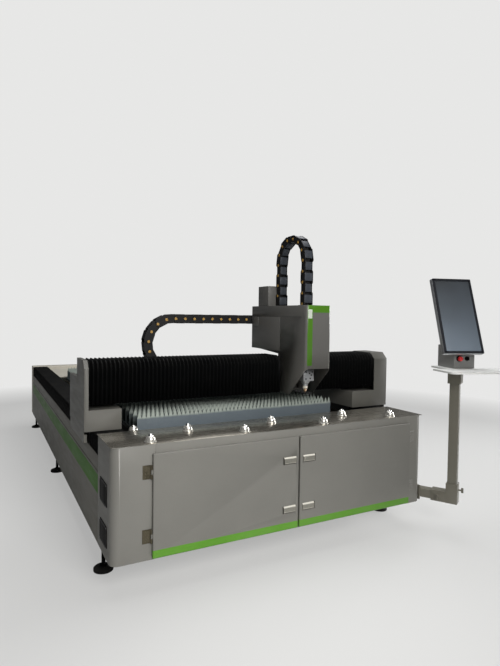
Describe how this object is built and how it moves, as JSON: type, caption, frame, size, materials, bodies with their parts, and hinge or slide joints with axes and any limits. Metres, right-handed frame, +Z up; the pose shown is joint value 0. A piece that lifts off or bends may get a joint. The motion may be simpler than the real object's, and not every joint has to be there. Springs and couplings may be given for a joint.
{
  "type": "fiber laser cutting machine",
  "caption": "Flatbed laser cutting machine: sawtooth slat bed, gantry with bellows and cable chains, lifting cutting head, door cabinet and operator console on a post.",
  "frame": {"origin": "middle of the footprint, at the soles of the feet", "axes": "+Z up; +Y from the cabinet's doors back along the bed; +X to the right as one faces the doors"},
  "size_m": [2.9074, 5.415, 2.1572],
  "materials": {
    "grey_paint": "smooth grey powder coat, door panels with a green lower stripe",
    "dark_paint": "satin near-black powder coat",
    "pale_paint": "pale beige paint on the bed's rear beam and deck",
    "stainless": "brushed stainless steel",
    "chrome": "polished",
    "galvanised": "bluish grey cut steel",
    "machined": "machined",
    "black_plastic": "matte black",
    "black_cloth": "coated black cloth",
    "rubber": "matte black rubber with a steel stem",
    "silver": "silver grey",
    "white_paint": "light grey powder coat",
    "red_plastic": "glossy red"
  },
  "bodies": {
    "base": {"cabinet_left_panel": "grey_paint", "cabinet_right_panel": "grey_paint", "cabinet_floor": "grey_paint", "cabinet_frame": "grey_paint", "cabinet_top_plate": "stainless", "vent_grille_upper": "black_plastic", "vent_grille_lower": "black_plastic", "laser_source": "silver", "control_rack": "machined", "hinge_left_upper": "stainless", "hinge_left_lower": "stainless", "hinge_right_upper": "stainless", "hinge_right_lower": "stainless", "bed_beam_left": "grey_paint", "bed_beam_right": "grey_paint", "cross_beam_front": "dark_paint", "cross_beam_rear": "pale_paint", "slag_tray": "galvanised", "slat_table": "galvanised", "cross_member_1": "dark_paint", "cross_member_2": "dark_paint", "y_rail_left": "machined", "y_rail_right": "machined", "rail_bellows_left_rear": "black_cloth", "rail_bellows_right_rear": "black_cloth", "rail_bellows_left_front": "black_cloth", "rail_bellows_right_front": "black_cloth", "foot_front_left": "rubber", "foot_front_right": "rubber", "foot_middle_left": "rubber", "foot_middle_right": "rubber", "foot_rear_left": "rubber", "foot_rear_right": "rubber", "console_arm": "white_paint"},
    "gantry": {"gantry_beam": "dark_paint", "end_cover_left": "grey_paint", "end_cover_right": "grey_paint", "saddle_left": "dark_paint", "saddle_right": "dark_paint", "beam_bellows_left": "black_cloth", "beam_bellows_right": "black_cloth", "beam_cable_chain": "black_plastic"},
    "carriage": {"carriage_plate": "machined", "head_cover": "dark_paint", "head_cable_chain": "black_plastic"},
    "lift": {"z_slide": "machined", "cutting_head": "silver"},
    "left_door": {"door_left": "grey_paint"},
    "right_door": {"door_right": "grey_paint"},
    "left_upper_latch": {"latch_left_upper": "chrome"},
    "left_lower_latch": {"latch_left_lower": "chrome"},
    "right_upper_latch": {"latch_right_upper": "chrome"},
    "right_lower_latch": {"latch_right_lower": "chrome"},
    "console_slider": {"console_elbow": "white_paint"},
    "console": {"console_post": "white_paint", "console_tray": "white_paint", "console_box": "silver", "monitor": "silver"},
    "stop": {"emergency_stop": "red_plastic"},
    "key": {"key_switch": "black_plastic"}
  },
  "joints": [
    {"name": "gantry_y", "type": "slide", "parent": "base", "child": "gantry", "axis": [0, 1, 0], "range_m": [0, 3], "deforming": ["rail_bellows_left_rear", "rail_bellows_right_rear", "rail_bellows_left_front", "rail_bellows_right_front"]},
    {"name": "carriage_x", "type": "slide", "parent": "gantry", "child": "carriage", "axis": [1, 0, 0], "range_m": [-1.137, 0.363], "deforming": ["beam_bellows_left", "beam_bellows_right", "beam_cable_chain"]},
    {"name": "head_z", "type": "slide", "parent": "carriage", "child": "lift", "axis": [0, 0, 1], "range_m": [-0.08, 0.05], "deforming": ["head_cable_chain"]},
    {"name": "left_door_hinge", "type": "hinge", "parent": "base", "child": "left_door", "pos_m": [-1.1702, -2.1845, 0.4965], "axis": [0, 0, -1], "range_deg": [0, 115]},
    {"name": "right_door_hinge", "type": "hinge", "parent": "base", "child": "right_door", "pos_m": [0.7728, -2.1845, 0.4965], "axis": [0, 0, 1], "range_deg": [0, 115]},
    {"name": "left_upper_latch_pivot", "type": "hinge", "parent": "left_door", "child": "left_upper_latch", "pos_m": [-0.3117, -2.188, 0.645], "axis": [0, 0, -1], "range_deg": [0, 35], "stiffness_Nm_per_rad": 0.15},
    {"name": "left_lower_latch_pivot", "type": "hinge", "parent": "left_door", "child": "left_lower_latch", "pos_m": [-0.3117, -2.188, 0.331], "axis": [0, 0, -1], "range_deg": [0, 35], "stiffness_Nm_per_rad": 0.15},
    {"name": "right_upper_latch_pivot", "type": "hinge", "parent": "right_door", "child": "right_upper_latch", "pos_m": [-0.0857, -2.188, 0.645], "axis": [0, 0, 1], "range_deg": [0, 35], "stiffness_Nm_per_rad": 0.15},
    {"name": "right_lower_latch_pivot", "type": "hinge", "parent": "right_door", "child": "right_lower_latch", "pos_m": [-0.0857, -2.188, 0.331], "axis": [0, 0, 1], "range_deg": [0, 35], "stiffness_Nm_per_rad": 0.15},
    {"name": "console_reach", "type": "slide", "parent": "base", "child": "console_slider", "axis": [0.5, -0.866, 0], "range_m": [0, 0.04]},
    {"name": "console_height", "type": "slide", "parent": "console_slider", "child": "console", "axis": [0, 0, 1], "range_m": [0, 0.1]},
    {"name": "stop_push", "type": "slide", "parent": "console", "child": "stop", "axis": [0.309, 0.9511, 0], "range_m": [0, 0.006], "stiffness_N_per_m": 800},
    {"name": "key_turn", "type": "hinge", "parent": "console", "child": "key", "pos_m": [1.13973, -2.36574, 1.2703], "axis": [0.309, 0.9511, 0], "range_deg": [0, 90]}
  ]
}
